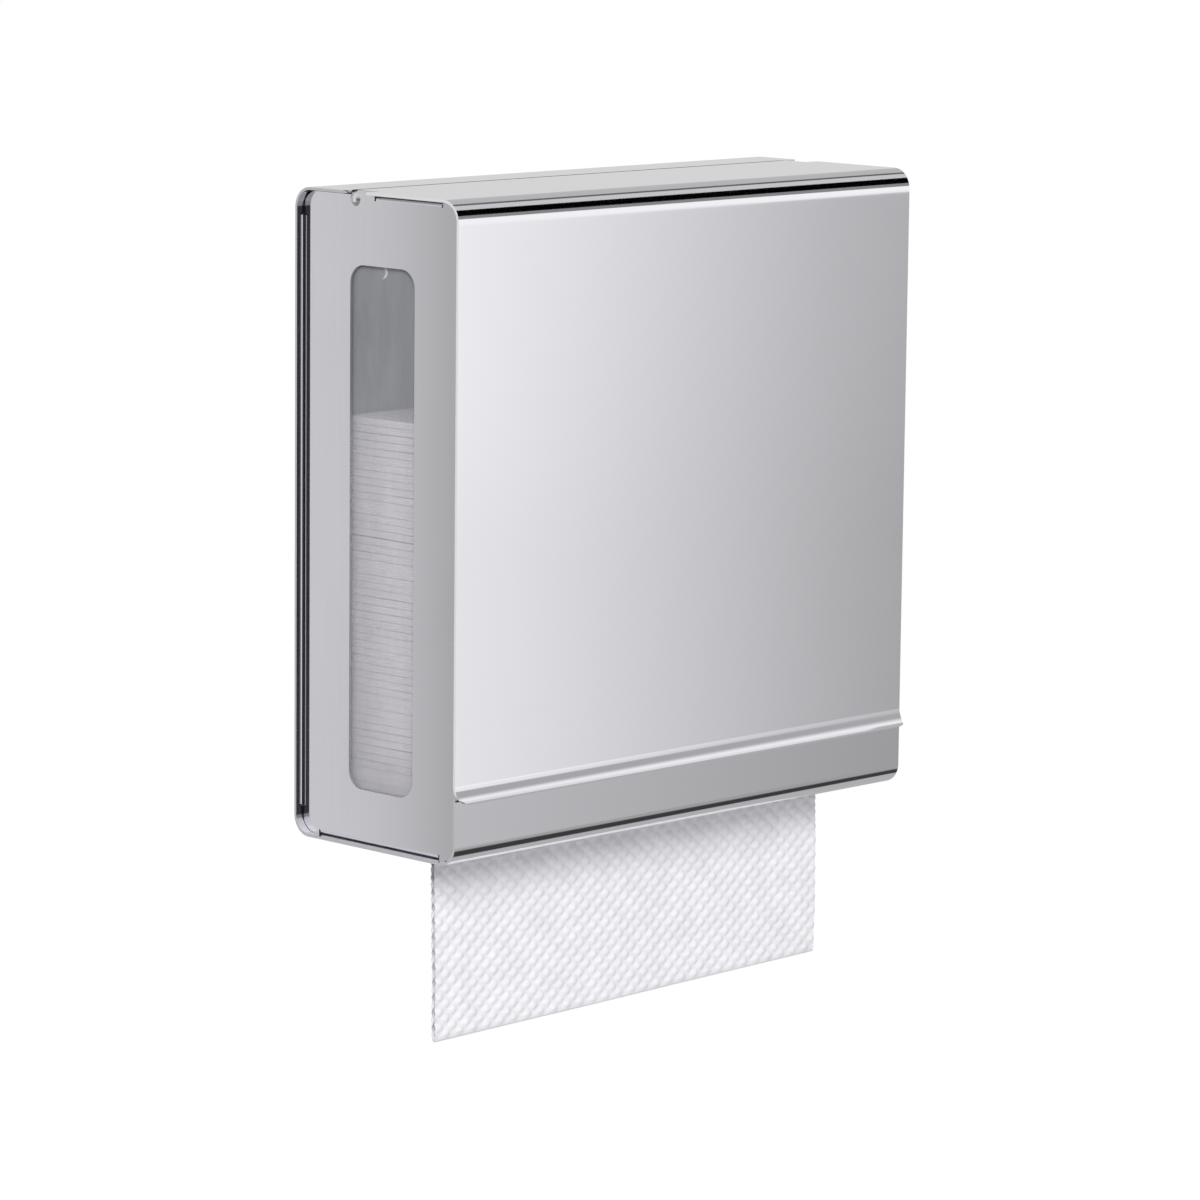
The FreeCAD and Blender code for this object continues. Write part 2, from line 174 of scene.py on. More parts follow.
# A card low in front, mirrored only by the apron, whose level fades along X, and a piece of wall that
# is seen only from inside the case, through the screw holes.
nearCards = {
    "apron": {"middle": (0.055, -0.148, -0.1405), "size": (0.32, 0.033), "reach": 0.10,
              "fade": (-0.090, 0.195), "levels": (0.58, 0.40)},
    "wall": {"middle": (0, 0.001, 0), "size": (0.22, 0.24), "colour": "#8c8c8c"},
}


def cardMask(tree, angle, edges, soft):
    rise = addNode(tree, "ShaderNodeMapRange", {"interpolation_type": "SMOOTHSTEP"}, {
        "Value": angle, "From Min": edges[0] - soft / 2, "From Max": edges[0] + soft / 2})
    fall = addNode(tree, "ShaderNodeMapRange", {"interpolation_type": "SMOOTHSTEP"}, {
        "Value": angle, "From Min": edges[1] - soft / 2, "From Max": edges[1] + soft / 2,
        "To Min": 1.0, "To Max": 0.0})
    both = addNode(tree, "ShaderNodeMath", {"operation": "MULTIPLY"}, {
        0: rise.outputs[0], 1: fall.outputs[0]})
    return both.outputs[0]


# the studio's brightness in the direction of these two angles, with this card over what came before
def layCard(tree, card, azimuth, elevation, behind):
    across = cardMask(tree, azimuth, card["azimuth"], card["soft"][0])
    upward = cardMask(tree, elevation, card["elevation"], card["soft"][1])
    mask = addNode(tree, "ShaderNodeMath", {"operation": "MULTIPLY"}, {0: across, 1: upward}).outputs[0]
    if "strength" in card:
        mask = addNode(tree, "ShaderNodeMath", {"operation": "MULTIPLY"}, {
            0: mask, 1: card["strength"]}).outputs[0]
    level = card["level"]
    if "fade" in card:
        start, end, second = card["fade"]
        level = addNode(tree, "ShaderNodeMapRange", {"interpolation_type": "SMOOTHSTEP"}, {
            "Value": azimuth, "From Min": start, "From Max": end,
            "To Min": level, "To Max": second}).outputs[0]
    laid = addNode(tree, "ShaderNodeMix", {"data_type": "FLOAT"}, {0: mask, 2: behind, 3: level})
    return laid.outputs[0]


def makeWorld():
    world = bpy.data.worlds.new("studio")
    bpy.context.scene.world = world
    world.use_nodes = True
    tree = world.node_tree
    tree.nodes.clear()
    output = tree.nodes.new("ShaderNodeOutputWorld")
    direction = addNode(tree, "ShaderNodeTexCoord").outputs["Generated"]
    split = addNode(tree, "ShaderNodeSeparateXYZ", inputs={0: direction})
    ahead = addNode(tree, "ShaderNodeMath", {"operation": "MULTIPLY"}, {
        0: split.outputs["Y"], 1: -1.0})
    around = addNode(tree, "ShaderNodeMath", {"operation": "ARCTAN2"}, {
        0: split.outputs["X"], 1: ahead.outputs[0]})
    above = addNode(tree, "ShaderNodeMath", {"operation": "ARCSINE"}, {0: split.outputs["Z"]})
    azimuth = addNode(tree, "ShaderNodeMath", {"operation": "DEGREES"}, {0: around.outputs[0]})
    elevation = addNode(tree, "ShaderNodeMath", {"operation": "DEGREES"}, {0: above.outputs[0]})
    level = addNode(tree, "ShaderNodeMapRange", {"interpolation_type": "SMOOTHSTEP"}, {
        "Value": elevation.outputs[0],
        "From Min": studio["floorElevation"], "From Max": studio["ceilingElevation"],
        "To Min": studio["floorLevel"], "To Max": studio["ceilingLevel"]}).outputs[0]
    for card in studio["cards"]:
        level = layCard(tree, card, azimuth.outputs[0], elevation.outputs[0], level)
    rays = addNode(tree, "ShaderNodeLightPath")
    plain = addNode(tree, "ShaderNodeMix", {"data_type": "FLOAT"}, {
        0: rays.outputs["Is Camera Ray"], 2: studio["ambient"], 3: studio["white"]})
    through = addNode(tree, "ShaderNodeMix", {"data_type": "FLOAT"}, {
        0: rays.outputs["Is Transmission Ray"], 2: plain.outputs[0], 3: studio["white"]})
    shown = addNode(tree, "ShaderNodeMix", {"data_type": "FLOAT"}, {
        0: rays.outputs["Is Glossy Ray"], 2: through.outputs[0], 3: level})
    background = addNode(tree, "ShaderNodeBackground", inputs={"Color": shown.outputs[0]})
    tree.links.new(background.outputs[0], output.inputs["Surface"])


def makeLamps():
    for lamp in studio["lamps"]:
        bpy.ops.object.light_add(type="AREA", location=lamp["place"])
        light = bpy.context.object
        light.name = lamp["name"].replace(" ", "_")
        light.data.size = lamp["size"]
        light.data.energy = lamp["watts"]
        light.rotation_mode = "QUATERNION"
        light.rotation_quaternion = Vector(lamp["place"]).to_track_quat("Z", "Y")
        light.visible_glossy = False


def makeFloor():
    deselectAll()
    bpy.ops.mesh.primitive_plane_add(size=studio["floorSize"], location=(0, 0, -studio["floorDrop"]))
    floor = bpy.context.object
    floor.name = "floor"
    floor.visible_glossy = False
    material, tree, output = newMaterial("pale_floor")
    matt = addNode(tree, "ShaderNodeBsdfDiffuse", inputs={"Color": linear(studio["floorColour"])})
    glow = addNode(tree, "ShaderNodeEmission", inputs={"Strength": studio["floorGlow"]})
    both = addNode(tree, "ShaderNodeAddShader", inputs={0: matt.outputs[0], 1: glow.outputs[0]})
    rays = addNode(tree, "ShaderNodeLightPath")
    seen = addNode(tree, "ShaderNodeMixShader", inputs={
        0: rays.outputs["Is Camera Ray"], 1: matt.outputs[0], 2: both.outputs[0]})
    tree.links.new(seen.outputs[0], output.inputs["Surface"])
    floor.data.materials.append(material)


# where the line of sight ends up after the bend mirrors it at this angle
def mirroredPlace(angle):
    normal = math.radians(max(angle, 0))
    below = max(-angle, 0) * millimetre
    sight = 2 * normal - math.radians(strips["viewAngle"])
    radius = strips["bendRadius"]
    y = strips["bendY"] - radius * math.cos(normal) - strips["distance"] * math.cos(sight)
    z = strips["bendZ"] + radius * math.sin(normal) - below + strips["distance"] * math.sin(sight)
    return Vector((0, y, z))


# "camera" or "glossy": the one kind of ray that meets this stage item
def meetsOnly(card, kind):
    for other in ("camera", "glossy", "diffuse", "transmission", "shadow"):
        setattr(card, "visible_" + other, other == kind)


# a near card shows only to rays that come from the face it stands in front of
def nearOnly(tree, output, glow, reach):
    rays = addNode(tree, "ShaderNodeLightPath")
    far = addNode(tree, "ShaderNodeMath", {"operation": "GREATER_THAN"}, {
        0: rays.outputs["Ray Length"], 1: reach})
    clear = addNode(tree, "ShaderNodeBsdfTransparent")
    seen = addNode(tree, "ShaderNodeMixShader", inputs={
        0: far.outputs[0], 1: glow.outputs[0], 2: clear.outputs[0]})
    tree.links.new(seen.outputs[0], output.inputs["Surface"])


def makeStrips():
    for band in strips["bands"]:
        low, high = [mirroredPlace(angle) for angle in band["between"]]
        width = (high - low).length
        tilt = math.atan2(high.z - low.z, high.y - low.y)
        deselectAll()
        bpy.ops.mesh.primitive_plane_add(size=1, location=(low + high) / 2, rotation=(tilt, 0, 0))
        strip = bpy.context.object
        strip.name = band["name"].replace(" ", "_")
        bpy.ops.object.mode_set(mode="EDIT")
        bpy.ops.transform.resize(value=(strips["length"], width, 1), orient_type="LOCAL")
        bpy.ops.object.mode_set(mode="OBJECT")
        meetsOnly(strip, "glossy")
        material, tree, output = newMaterial(strip.name)
        glow = addNode(tree, "ShaderNodeEmission", inputs={"Strength": band["level"]})
        nearOnly(tree, output, glow, strips["reach"])
        strip.data.materials.append(material)


# an upright plane that faces the front, as a stage item; its material is still empty
def standCard(name, materialName, look, rayKind):
    deselectAll()
    bpy.ops.mesh.primitive_plane_add(size=1, location=look["middle"], rotation=(math.pi / 2, 0, 0))
    card = bpy.context.object
    card.name = name
    card.scale = (*look["size"], 1)
    bpy.ops.object.transform_apply(location=True, rotation=True, scale=True)
    meetsOnly(card, rayKind)
    material, tree, output = newMaterial(materialName)
    card.data.materials.append(material)
    return tree, output


def makeNearCards():
    look = nearCards["apron"]
    tree, output = standCard("apron_card", "apron_card", look, "glossy")
    place = addNode(tree, "ShaderNodeTexCoord").outputs["Object"]
    across = addNode(tree, "ShaderNodeSeparateXYZ", inputs={0: place}).outputs["X"]
    level = addNode(tree, "ShaderNodeMapRange", inputs={
        "Value": across, "From Min": look["fade"][0], "From Max": look["fade"][1],
        "To Min": look["levels"][0], "To Max": look["levels"][1]})
    glow = addNode(tree, "ShaderNodeEmission", inputs={"Strength": level.outputs[0]})
    nearOnly(tree, output, glow, look["reach"])
    look = nearCards["wall"]
    tree, output = standCard("wall_behind", "painted_wall", look, "camera")
    paint = addNode(tree, "ShaderNodeBsdfDiffuse", inputs={"Color": linear(look["colour"])})
    clear = addNode(tree, "ShaderNodeBsdfTransparent")
    back = addNode(tree, "ShaderNodeNewGeometry").outputs["Backfacing"]
    seen = addNode(tree, "ShaderNodeMixShader", inputs={
        0: back, 1: paint.outputs[0], 2: clear.outputs[0]})
    tree.links.new(seen.outputs[0], output.inputs["Surface"])


makeCamera()
makeWorld()
makeLamps()
makeFloor()
makeStrips()
makeNearCards()
print("studio ready")

# Paper: C-fold towels, embossed in small diamond pillows
emboss = {
    "across": 8.13 * millimetre,  # one diamond's width
    "along": 6.58 * millimetre,  # and its height
    "height": 1.3 * millimetre,  # a little more than in real tissue, so that it shows
}

hangingTowel = {
    "width": 0.240,
    "planeY": -0.067,
    "topZ": -0.1388,
    "leftDrop": 0.0850,  # the fold's lower edge below the top, at the left and at the right
    "rightDrop": 0.0817,
    "foldRadius": 0.0006,
    "stepsPerDiamond": (8, 8),
    "thickness": 0.35 * millimetre,
    "sway": 1.1 * millimetre,  # how far the sheet waves forward and back
    "swayNoise": (14, 9, 3.1),  # waves for each metre across and down, and where the noise is cut
    "edgeWander": 0.8 * millimetre,  # how far the side edges wander
    "edgeNoise": (5.0, 40, 1.7),  # the middle one is waves for each metre down
    "heldFlat": 0.03,  # below the slot the waving starts over this length
    "smoothFold": 0.002,  # and beside the fold the embossing starts over this one
    "smoothAngle": 50,
}


# height of the embossing where the sheet's own coordinates are across and along
def pillow(across, along):
    first = np.abs(np.sin(np.pi * (across / emboss["across"] - along / emboss["along"])))
    second = np.abs(np.sin(np.pi * (across / emboss["across"] + along / emboss["along"])))
    return first * second


def readPoints(piece):
    points = np.empty(len(piece.data.vertices) * 3)
    piece.data.vertices.foreach_get("co", points)
    return points.reshape(-1, 3)


def writePoints(piece, points):
    piece.data.vertices.foreach_set("co", points.ravel())
    piece.data.update()


def applyModifier(piece, kind, **settings):
    modifier = piece.modifiers.new(kind.title(), kind)
    for name, value in settings.items():
        setattr(modifier, name, value)
    bpy.context.view_layer.objects.active = piece
    bpy.ops.object.modifier_apply(modifier=modifier.name)


def makeHangingTowel():
    look = hangingTowel
    deselectAll()
    half = (look["leftDrop"] + look["rightDrop"]) / 2 + look["foldRadius"]  # from the fold to each end
    columns = round(look["width"] / emboss["across"] * look["stepsPerDiamond"][0])
    rows = 2 * round(half / emboss["along"] * look["stepsPerDiamond"][1])
    bpy.ops.mesh.primitive_grid_add(x_subdivisions=columns, y_subdivisions=rows, size=2)
    towel = bpy.context.object
    towel.name = "hanging_towel"
    grid = readPoints(towel)
    across = grid[:, 0] * look["width"] / 2
    along = grid[:, 1] * half  # 0 at the fold, negative on the front ply
    radius = look["foldRadius"]
    quarter = math.pi / 2 * radius
    turn = np.clip(along / radius, -math.pi / 2, math.pi / 2)
    straight = np.maximum(np.abs(along) - quarter, 0)
    rise = radius * (1 - np.cos(turn)) + straight
    depth = radius * np.sin(turn)
    raised = emboss["height"] * pillow(across, along)
    facing = np.where(along < 0, -1.0, 1.0) * np.minimum(straight / look["smoothFold"], 1)
    slope = (look["leftDrop"] - look["rightDrop"]) / look["width"]
    lowest = look["topZ"] - (look["leftDrop"] + look["rightDrop"]) / 2
    height = lowest + rise + across * slope
    often = look["swayNoise"]
    wave = np.array([noise.noise(Vector((often[0] * a, often[1] * h, often[2])))
                     for a, h in zip(across, height)])
    hang = np.clip((look["topZ"] - height) / look["heldFlat"], 0, 1)
    forward = look["planeY"] + depth + raised * facing + look["sway"] * wave * hang
    often = look["edgeNoise"]
    wander = np.array([noise.noise(Vector((often[0], often[1] * h, often[2]))) for h in height])
    side = across - slope * rise + wander * look["edgeWander"]
    writePoints(towel, np.column_stack((side, forward, height)))
    applyModifier(towel, "SOLIDIFY", thickness=look["thickness"], offset=0.0, use_even_offset=False)
    bpy.ops.object.shade_smooth_by_angle(angle=math.radians(look["smoothAngle"]))
    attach(towel, "leading_towel")
    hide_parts("leading_towel")
    return towel


foldedTowels = {
    "count": 28,
    "width": 0.2385,
    "depth": 0.0815,
    "middleY": -0.0500,
    "footZ": -0.1388,
    "height": 0.1805,
    "layer": 0.00322,  # one layer of loosely pressed paper
    "parting": 0.0004,  # half the gap between the two flaps
    "meeting": -0.009,  # where the flaps meet, from the middle; the front flap is the shorter one
    "flapSteps": 7,
    "foldSteps": 6,
    "middleSteps": 14,
    "stations": 26,
    "pressed": 0.92,  # thickness of the cut ends, where the layers are a little pressed together
    "wave": 0.55 * millimetre,
    "waveNoise": (9, 22, 0.35),  # waves for each metre across and back, and the change with each towel
    "heldFlat": 3,  # this many towels from the bottom the waving has its full height
    "seed": 28,
    "strayWidth": 0.6 * millimetre,  # how far a towel's width strays, and its place along X and Y
    "strayAcross": 0.3 * millimetre,
    "strayBack": 0.24 * millimetre,
    "smoothAngle": 40,
}


# the middle line of one C-folded towel and its normals, from one flap's end round to the other's
def foldLine():
    look = foldedTowels
    pitch = look["height"] / look["count"]
    low = pitch / 4
    high = 3 * pitch / 4
    radius = (high - low) / 2
    reach = look["depth"] / 2 - look["layer"] / 2 - radius
    front = -look["meeting"] + look["parting"]
    rear = look["meeting"] + look["parting"]
    points = []
    for t in np.linspace(0, 1, look["flapSteps"] + 1)[:-1]:
        points.append((-front - t * (reach - front), high, 0, 1))
    for turn in np.linspace(0, math.pi, look["foldSteps"] + 1)[:-1]:
        points.append((-reach - radius * math.sin(turn), low + radius + radius * math.cos(turn),
                       -math.sin(turn), math.cos(turn)))
    for t in np.linspace(-reach, reach, look["middleSteps"] + 1)[:-1]:
        points.append((t, low, 0, -1))
    for turn in np.linspace(0, math.pi, look["foldSteps"] + 1)[:-1]:
        points.append((reach + radius * math.sin(turn), low + radius - radius * math.cos(turn),
                       math.sin(turn), -math.cos(turn)))
    for t in np.linspace(1, 0, look["flapSteps"] + 1):
        points.append((rear + t * (reach - rear), high, 0, 1))
    return np.array(points)


# the cylinder that every towel is copied from; its rim follows the outer side of the fold line, and
# then comes back along the inner one
def makeTowelBlank(around, stations):
    deselectAll()
    bpy.ops.mesh.primitive_cylinder_add(vertices=around, radius=1, depth=2, end_fill_type="NGON")
    blank = bpy.context.object
    bpy.ops.object.mode_set(mode="EDIT")
    bpy.ops.mesh.select_mode(type="EDGE")
    bpy.ops.mesh.select_all(action="DESELECT")
    bpy.ops.object.mode_set(mode="OBJECT")
    for edge in blank.data.edges:
        ends = [blank.data.vertices[i].co.z for i in edge.vertices]
        edge.select = abs(ends[0] - ends[1]) > 1  # the long edges, from one end to the other
    bpy.ops.object.mode_set(mode="EDIT")
    bpy.ops.mesh.subdivide(number_cuts=stations)
    bpy.ops.object.mode_set(mode="OBJECT")
    return blank


def makeFoldedTowels():
    look = foldedTowels
    pitch = look["height"] / look["count"]
    line = foldLine()
    around = 2 * len(line)
    blank = makeTowelBlank(around, look["stations"])
    start = readPoints(blank)
    angle = np.arctan2(start[:, 0], start[:, 1])
    place = np.round(angle / (2 * math.pi) * around).astype(int) % around  # round the cylinder's rim
    outer = place < len(line)
    index = np.where(outer, place, around - 1 - place)
    side = np.where(outer, 0.5, -0.5) * look["layer"]
    thin = np.where(np.isclose(np.abs(start[:, 2]), 1), look["pressed"], 1.0)
    often = look["waveNoise"]
    random.seed(look["seed"])
    towels = []
    for i in range(look["count"]):
        towel = blank.copy()
        towel.data = blank.data.copy()
        bpy.context.collection.objects.link(towel)
        grow = 1 + random.uniform(-1, 1) * look["strayWidth"] / look["width"]
        across = start[:, 2] * look["width"] / 2 * grow + random.uniform(-1, 1) * look["strayAcross"]
        points = line[index]
        back = points[:, 0] + points[:, 2] * side * thin + random.uniform(-1, 1) * look["strayBack"]
        up = points[:, 1] + points[:, 3] * side * thin
        level = look["footZ"] + i * pitch
        held = min(1.0, i / look["heldFlat"])  # the case's bottom keeps the lowest ones flat
        wave = np.array([noise.noise(Vector((often[0] * a, often[1] * b, often[2] * i)))
                         for a, b in zip(across, back)])
        height = level + up + wave * look["wave"] * held
        height = np.clip(height, look["footZ"], look["footZ"] + look["height"])
        writePoints(towel, np.column_stack((across, look["middleY"] + back, height)))
        towels.append(towel)
    bpy.data.objects.remove(blank)
    deselectAll()
    for towel in towels:
        towel.select_set(True)
    bpy.context.view_layer.objects.active = towels[0]
    bpy.ops.object.join()
    stack = bpy.context.object
    stack.name = "folded_towels"
    bpy.ops.object.mode_set(mode="EDIT")
    bpy.ops.mesh.select_all(action="SELECT")
    bpy.ops.mesh.normals_make_consistent(inside=False)
    bpy.ops.object.mode_set(mode="OBJECT")
    bpy.ops.object.shade_smooth_by_angle(angle=math.radians(look["smoothAngle"]))
    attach(stack, "cabinet")
    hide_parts("towel_stack")
    return stack


hangingPiece = makeHangingTowel()
stackPiece = makeFoldedTowels()
print("paper folded:", len(hangingPiece.data.polygons), "and", len(stackPiece.data.polygons), "faces")

# Materials. Patterns read Object coordinates, turned to millimetres.


def millimetres(tree, stretch=(1, 1, 1)):
    place = addNode(tree, "ShaderNodeTexCoord").outputs["Object"]
    scaled = addNode(tree, "ShaderNodeVectorMath", {"operation": "MULTIPLY"}, {
        0: place, 1: [1000 * factor for factor in stretch]})
    return scaled.outputs[0]


steelFinish = {
    "skin": "#eae9ee",
    "mill": "#bfc0c3",
    # the door's cut-edge tone is painted near-white, a painted highlight brighter than the case's and
    # panels'
    "edge": {"case": "#d2d2d4", "door": "#fafafc", "panel": "#d2d2d4"},  # the sheet's cut edges
    # the panel's rear corner is painted darker, as painted shade in the recess beside the back sheet
    "paintedRecessShade": "#77777b",
    "paintedRecessShadeEnd": -0.0022,  # the dulled corner runs from the back to here
    "skinRoughness": (0.065, 0.095),
    "millRoughness": (0.35, 0.45),
    "edgeRoughness": 0.45,
    "grainPitch": 0.5,  # millimetres; the real polishing lines are ten times finer and wouldn't show
    "grainLength": 60,
    "grainHeight": 2.0e-7,  # metres
    "grainSpan": (0.3, 0.7),  # the noise's values between which the roughness runs
    "waveLength": 70,  # millimetres, of the faint waviness that rolled sheet has
    "waveHeight": 6.0e-6,
    "waveShare": 0.4,  # of the waviness in the skin's roughness; the rest is grain
    "skinSpan": (0.35, 0.65),
}

# The case's section across X, for telling its outer skin from its inner faces, in metres
caseSection = {
    "middleY": -0.050,
    "halfY": 0.041,  # from the middle to the bends' centres
    "halfZ": 0.131,
    "between": 0.0084,  # from those centres to halfway through the sheet
    "panelMiddle": 0.1356,  # halfway through a side panel
    "rim": -0.14015,  # the slot's drawn rim lies below this
}


# 1 on the faces that look into the case and on the slot's drawn rim, 0 on the polished skin
def innerFaces(tree, panel):
    look = caseSection
    place = addNode(tree, "ShaderNodeTexCoord").outputs["Object"]
    split = addNode(tree, "ShaderNodeSeparateXYZ", inputs={0: place})
    across = addNode(tree, "ShaderNodeMath", {"operation": "ABSOLUTE"}, {0: split.outputs["X"]})
    between = addNode(tree, "ShaderNodeMath", {"operation": "LESS_THAN"}, {
        0: across.outputs[0], 1: look["panelMiddle"]})
    if panel:
        return between.outputs[0]
    depth = addNode(tree, "ShaderNodeMath", {"operation": "SUBTRACT"}, {
        0: split.outputs["Y"], 1: look["middleY"]})
    beyond = []
    for value, half in ((depth.outputs[0], look["halfY"]), (split.outputs["Z"], look["halfZ"])):
        away = addNode(tree, "ShaderNodeMath", {"operation": "ABSOLUTE"}, {0: value})
        past = addNode(tree, "ShaderNodeMath", {"operation": "SUBTRACT"}, {0: away.outputs[0], 1: half})
        beyond.append(addNode(tree, "ShaderNodeMath", {"operation": "MAXIMUM"}, {
            0: past.outputs[0], 1: 0.0}))
    gap = addNode(tree, "ShaderNodeCombineXYZ", inputs={
        0: beyond[0].outputs[0], 1: beyond[1].outputs[0]})
    length = addNode(tree, "ShaderNodeVectorMath", {"operation": "LENGTH"}, {0: gap.outputs[0]})
    inside = addNode(tree, "ShaderNodeMath", {"operation": "LESS_THAN"}, {
        0: length.outputs["Value"], 1: look["between"]})
    both = addNode(tree, "ShaderNodeMath", {"operation": "MULTIPLY"}, {
        0: inside.outputs[0], 1: between.outputs[0]})
    rim = addNode(tree, "ShaderNodeMath", {"operation": "LESS_THAN"}, {
        0: split.outputs["Z"], 1: look["rim"]})
    either = addNode(tree, "ShaderNodeMath", {"operation": "MAXIMUM"}, {
        0: both.outputs[0], 1: rim.outputs[0]})
    return either.outputs[0]


# 1 on the sheet's cut edges: they face along X on shell and door, and across it on the panels
def cutEdges(tree, panel):
    facing = addNode(tree, "ShaderNodeTexCoord").outputs["Normal"]
    split = addNode(tree, "ShaderNodeSeparateXYZ", inputs={0: facing})
    across = addNode(tree, "ShaderNodeMath", {"operation": "ABSOLUTE"}, {0: split.outputs["X"]})
    test, limit = ("LESS_THAN", 0.5) if panel else ("GREATER_THAN", 0.9)
    edge = addNode(tree, "ShaderNodeMath", {"operation": test}, {0: across.outputs[0], 1: limit})
    return edge.outputs[0]


# Austenitic stainless sheet, polished bright on the outside: a clear mirror with faint lines along the
# case's width, and upright ones on the side panels. Its inner faces keep the rolling mill's satin, and
# its sheared edges scatter the light; the door's are painted near-white, a painted highlight. The rear
# corner of a panel is painted darker, as painted shade in the recess beside the back sheet.
def makeSteel(name, part):
    look = steelFinish
    panel = part == "panel"
    material, tree, output = newMaterial(name)
    inside = innerFaces(tree, panel)
    edge = cutEdges(tree, panel)
    along = (1 / look["grainLength"], 1 / look["grainPitch"], 1 / look["grainPitch"])
    if panel:
        along = (1 / look["grainPitch"], 1 / look["grainPitch"], 1 / look["grainLength"])
    grain = addNode(tree, "ShaderNodeTexNoise", inputs={
        "Vector": millimetres(tree, along), "Scale": 1.0, "Detail": 3.0, "Roughness": 0.6})
    cloud = addNode(tree, "ShaderNodeTexNoise", inputs={
        "Vector": millimetres(tree), "Scale": 1 / look["waveLength"], "Detail": 2.0, "Roughness": 0.45})
    mixed = addNode(tree, "ShaderNodeMix", {"data_type": "FLOAT"}, {
        0: look["waveShare"], 2: grain.outputs[0], 3: cloud.outputs[0]})
    polish = addNode(tree, "ShaderNodeMapRange", inputs={
        "Value": mixed.outputs[0], "From Min": look["skinSpan"][0], "From Max": look["skinSpan"][1],
        "To Min": look["skinRoughness"][0], "To Max": look["skinRoughness"][1]})
    mill = addNode(tree, "ShaderNodeMapRange", inputs={
        "Value": grain.outputs[0], "From Min": look["grainSpan"][0], "From Max": look["grainSpan"][1],
        "To Min": look["millRoughness"][0], "To Max": look["millRoughness"][1]})
    roughness = addNode(tree, "ShaderNodeMix", {"data_type": "FLOAT"}, {
        0: inside, 2: polish.outputs[0], 3: mill.outputs[0]})
    roughness = addNode(tree, "ShaderNodeMix", {"data_type": "FLOAT"}, {
        0: edge, 2: roughness.outputs[0], 3: look["edgeRoughness"]})
    tone = addNode(tree, "ShaderNodeMix", {"data_type": "RGBA"}, {
        0: inside, 6: linear(look["skin"]), 7: linear(look["mill"])})
    # painted highlight: the door's cut edges take a near-white tone, brighter than the same edges
    # elsewhere
    tone = addNode(tree, "ShaderNodeMix", {"data_type": "RGBA"}, {
        0: edge, 6: tone.outputs[2], 7: linear(look["edge"][part])})
    if panel:
        # painted shade: a panel's rear corner, in the recess beside the back sheet, is painted darker
        place = addNode(tree, "ShaderNodeTexCoord").outputs["Object"]
        split = addNode(tree, "ShaderNodeSeparateXYZ", inputs={0: place})
        paintedRecessShade = addNode(tree, "ShaderNodeMath", {"operation": "GREATER_THAN"}, {
            0: split.outputs["Y"], 1: look["paintedRecessShadeEnd"]})
        tone = addNode(tree, "ShaderNodeMix", {"data_type": "RGBA"}, {
            0: paintedRecessShade.outputs[0], 6: tone.outputs[2], 7: linear(look["paintedRecessShade"])})
    waves = addNode(tree, "ShaderNodeBump", inputs={
        "Height": cloud.outputs[0], "Distance": look["waveHeight"], "Strength": 1.0})
    lines = addNode(tree, "ShaderNodeBump", inputs={
        "Height": grain.outputs[0], "Distance": look["grainHeight"], "Strength": 1.0,
        "Normal": waves.outputs[0]})
    shader = addNode(tree, "ShaderNodeBsdfPrincipled", inputs={
        "Base Color": tone.outputs[2], "Metallic": 1.0, "Roughness": roughness.outputs[0],
        "Normal": lines.outputs[0]})
    tree.links.new(shader.outputs[0], output.inputs["Surface"])
    return material


pinFinish = {
    "colour": "#d2d2d5",
    "roughness": (0.05, 0.09),
    "pinY": -0.0335,  # the pins' axis
    "pinZ": 0.1364,
    "ringPitch": 0.22 * millimetre,
    "ringHeight": 1.5e-6,
}


# Stainless pins turned on a lathe and polished: bright, with fine rings round the head
def makePinSteel():
    look = pinFinish
    material, tree, output = newMaterial("turned_pin_steel")
    place = addNode(tree, "ShaderNodeTexCoord").outputs["Object"]
    centred = addNode(tree, "ShaderNodeMapping", inputs={
        0: place, "Location": (0, -look["pinY"], -look["pinZ"])})
    flat = addNode(tree, "ShaderNodeVectorMath", {"operation": "MULTIPLY"}, {
        0: centred.outputs[0], 1: (0, 1, 1)})
    radius = addNode(tree, "ShaderNodeVectorMath", {"operation": "LENGTH"}, {0: flat.outputs[0]})
    phase = addNode(tree, "ShaderNodeMath", {"operation": "MULTIPLY"}, {
        0: radius.outputs["Value"], 1: 2 * math.pi / look["ringPitch"]})
    rings = addNode(tree, "ShaderNodeMath", {"operation": "SINE"}, {0: phase.outputs[0]})
    roughness = addNode(tree, "ShaderNodeMapRange", inputs={
        "Value": rings.outputs[0], "From Min": -1.0, "From Max": 1.0,
        "To Min": look["roughness"][0], "To Max": look["roughness"][1]})
    bump = addNode(tree, "ShaderNodeBump", inputs={
        "Height": rings.outputs[0], "Distance": look["ringHeight"], "Strength": 1.0})
    shader = addNode(tree, "ShaderNodeBsdfPrincipled", inputs={
        "Base Color": linear(look["colour"]), "Metallic": 1.0, "Roughness": roughness.outputs[0],
        "Normal": bump.outputs[0]})
    tree.links.new(shader.outputs[0], output.inputs["Surface"])
    return material


springFinish = {
    "tones": ("#8f9094", "#adaeb0"),
    "span": (0.3, 0.7),  # the noise's values between which tone and roughness run
    "roughness": (0.30, 0.45),
    "lines": (1.0, 0.5, 6.0),  # to a millimetre, along each axis
    "height": 4.0e-6,
}


